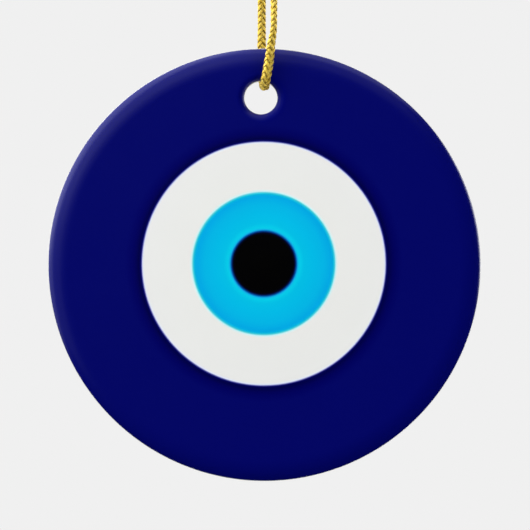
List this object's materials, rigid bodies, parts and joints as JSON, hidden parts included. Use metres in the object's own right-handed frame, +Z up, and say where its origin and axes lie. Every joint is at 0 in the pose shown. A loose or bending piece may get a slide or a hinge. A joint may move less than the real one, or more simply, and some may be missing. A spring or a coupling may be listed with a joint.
{
  "type": "evil eye ornament",
  "caption": "Round glazed ceramic hanging ornament printed with concentric evil eye rings, on a knotted loop of gold braided cord. Its back, knot and cord ends are guessed.",
  "frame": {"origin": "in the crotch of the cord's loop under the knot, where a hook bears", "axes": "+Z up along the hanging cord, the disc's front face towards -Y and its thickness along Y, +X to the viewer's right"},
  "size_m": [0.073, 0.008, 0.139],
  "materials": {
    "glazed_ceramic": "glossy white glaze",
    "navy_coat": "satin-gloss fired print",
    "white_coat": "satin-gloss fired print",
    "light_blue_coat": "satin-gloss fired print",
    "black_coat": "satin-gloss fired print",
    "gold_cord": "braided metallic yarn"
  },
  "bodies": {
    "hanger": {"cord_knot": "gold_cord", "cord_tail_left": "gold_cord", "cord_tail_right": "gold_cord", "cord_front_strand": "gold_cord", "cord_back_strand": "gold_cord"},
    "lower_cord": {"cord_bight": "gold_cord"},
    "ornament": {"ceramic_disc": "glazed_ceramic", "front_navy_field": "navy_coat", "front_white_ring": "white_coat", "front_light_blue_ring": "light_blue_coat", "front_pupil": "black_coat", "back_navy_field": "navy_coat", "back_white_ring": "white_coat", "back_light_blue_ring": "light_blue_coat", "back_pupil": "black_coat"}
  },
  "joints": [
    {"name": "cord_twist", "type": "hinge", "parent": "hanger", "child": "lower_cord", "pos_m": [0, 0, -0.034], "axis": [0, 0, 1], "range_deg": [-180, 180]},
    {"name": "disc_swing", "type": "hinge", "parent": "lower_cord", "child": "ornament", "pos_m": [0, 0, -0.062], "axis": [0, 1, 0], "range_deg": [-90, 90]}
  ]
}
